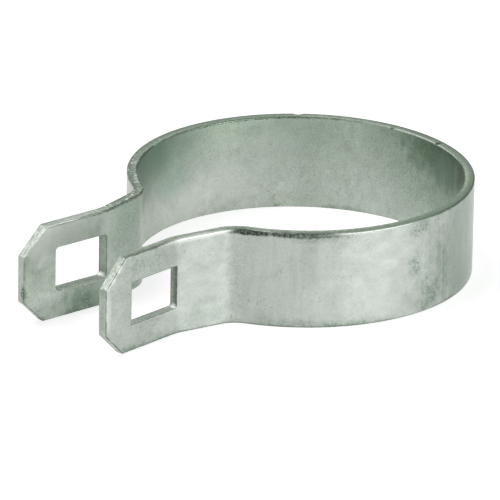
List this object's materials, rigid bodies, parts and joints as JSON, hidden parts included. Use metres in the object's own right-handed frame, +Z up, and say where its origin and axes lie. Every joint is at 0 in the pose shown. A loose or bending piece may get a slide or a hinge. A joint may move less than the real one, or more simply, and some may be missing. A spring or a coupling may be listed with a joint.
{
  "type": "fence brace band",
  "caption": "Open ring of galvanised steel strip that clamps round a fence post, with splayed lugs that have clipped corners and oblong punched holes for a carriage bolt.",
  "frame": {"origin": "on the axis of the ring, in the plane of the strip's lower edge", "axes": "+Z up along the axis of the ring, +X from the ring towards the bolt lugs, and the XZ plane midway between the lugs"},
  "size_m": [0.1115, 0.0782, 0.0222],
  "materials": {
    "galvanised_steel": "zinc coated strip, mottled satin with rough sheared edges"
  },
  "bodies": {
    "root": {"brace_band": "galvanised_steel"}
  },
  "joints": []
}
